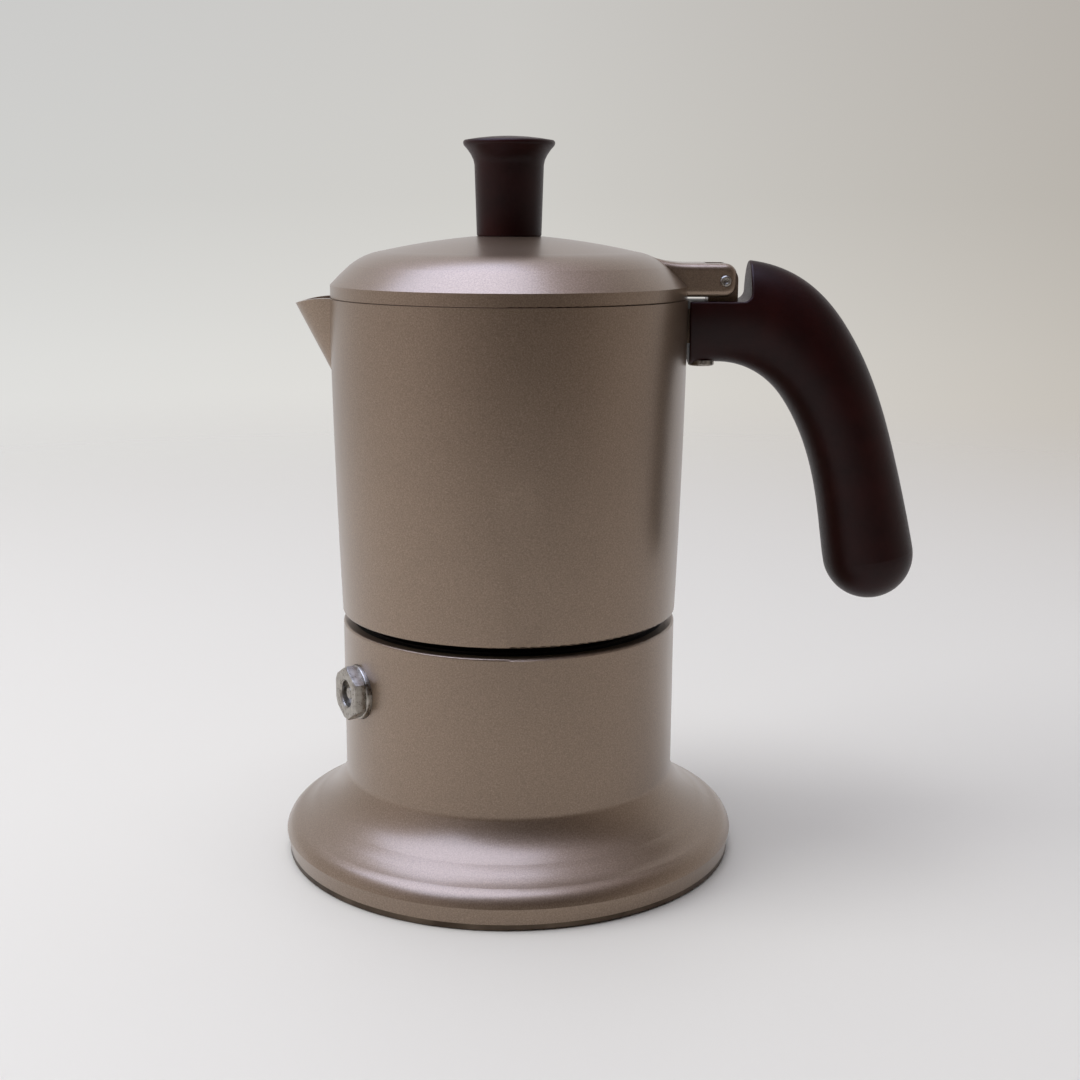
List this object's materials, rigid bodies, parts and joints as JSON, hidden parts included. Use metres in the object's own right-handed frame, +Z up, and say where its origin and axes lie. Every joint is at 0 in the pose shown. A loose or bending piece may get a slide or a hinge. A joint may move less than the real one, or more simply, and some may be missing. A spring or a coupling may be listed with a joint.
{
  "type": "moka pot",
  "caption": "Stove-top moka pot with a flared base, a screwed-on collector with spout and hinged lid, an arched handle, a funnel inside and a sprung relief valve.",
  "frame": {"origin": "centre of the flared base's underside, on the surface it stands on", "axes": "+Z up along the pot's axis, +X towards the handle, -X towards the spout"},
  "size_m": [0.1489, 0.107, 0.1661],
  "materials": {
    "painted_aluminium": "satin",
    "cast_aluminium": "satin",
    "steel_sheet": "satin",
    "bright_steel": "semi_gloss",
    "dark_plastic": "satin",
    "seal_rubber": "matte"
  },
  "bodies": {
    "boiler": {"boiler_shell": "painted_aluminium", "base_plate": "steel_sheet", "valve_collar": "bright_steel", "valve_body": "bright_steel", "valve_ring": "bright_steel"},
    "relief_pin": {"valve_pin": "bright_steel", "valve_spring": "bright_steel"},
    "funnel": {"funnel_basket": "cast_aluminium", "funnel_stem": "cast_aluminium", "basket_plate": "cast_aluminium"},
    "gasket": {"boiler_gasket": "seal_rubber"},
    "filter": {"filter_plate": "cast_aluminium"},
    "collector": {"upper_pot": "painted_aluminium", "riser_column": "cast_aluminium", "column_cap": "cast_aluminium", "hinge_pin": "bright_steel", "handle": "dark_plastic", "handle_screw": "bright_steel"},
    "lid_group": {"lid": "painted_aluminium", "lid_knob": "dark_plastic", "knob_washer": "bright_steel", "knob_screw": "bright_steel"}
  },
  "joints": [
    {"name": "relief_pin_slide", "type": "slide", "parent": "boiler", "child": "relief_pin", "axis": [-0.8746, -0.4848, 0], "range_m": [0, 0.0012], "stiffness_N_per_m": 800, "springref_m": -0.002, "deforming": ["valve_spring"]},
    {"name": "funnel_lift", "type": "slide", "parent": "boiler", "child": "funnel", "axis": [0, 0, 1], "range_m": [0, 0.062]},
    {"name": "collector_lift", "type": "slide", "parent": "funnel", "child": "gasket", "axis": [0, 0, 1], "range_m": [0, 0.04]},
    {"name": "collector_rise", "type": "slide", "parent": "gasket", "child": "filter", "axis": [0, 0, 1], "range_m": [0, 0.006]},
    {"name": "collector_turn", "type": "hinge", "parent": "filter", "child": "collector", "pos_m": [0, 0, 0.0709], "axis": [0, 0, 1], "range_deg": [0, 720]},
    {"name": "lid_hinge", "type": "hinge", "parent": "collector", "child": "lid_group", "pos_m": [0.0485, 0, 0.13455], "axis": [0, 1, 0], "range_deg": [0, 100]}
  ],
  "couplings": [
    {"joint": "collector_rise", "follows": "collector_turn", "m_per_rad": 0.00047746}
  ]
}
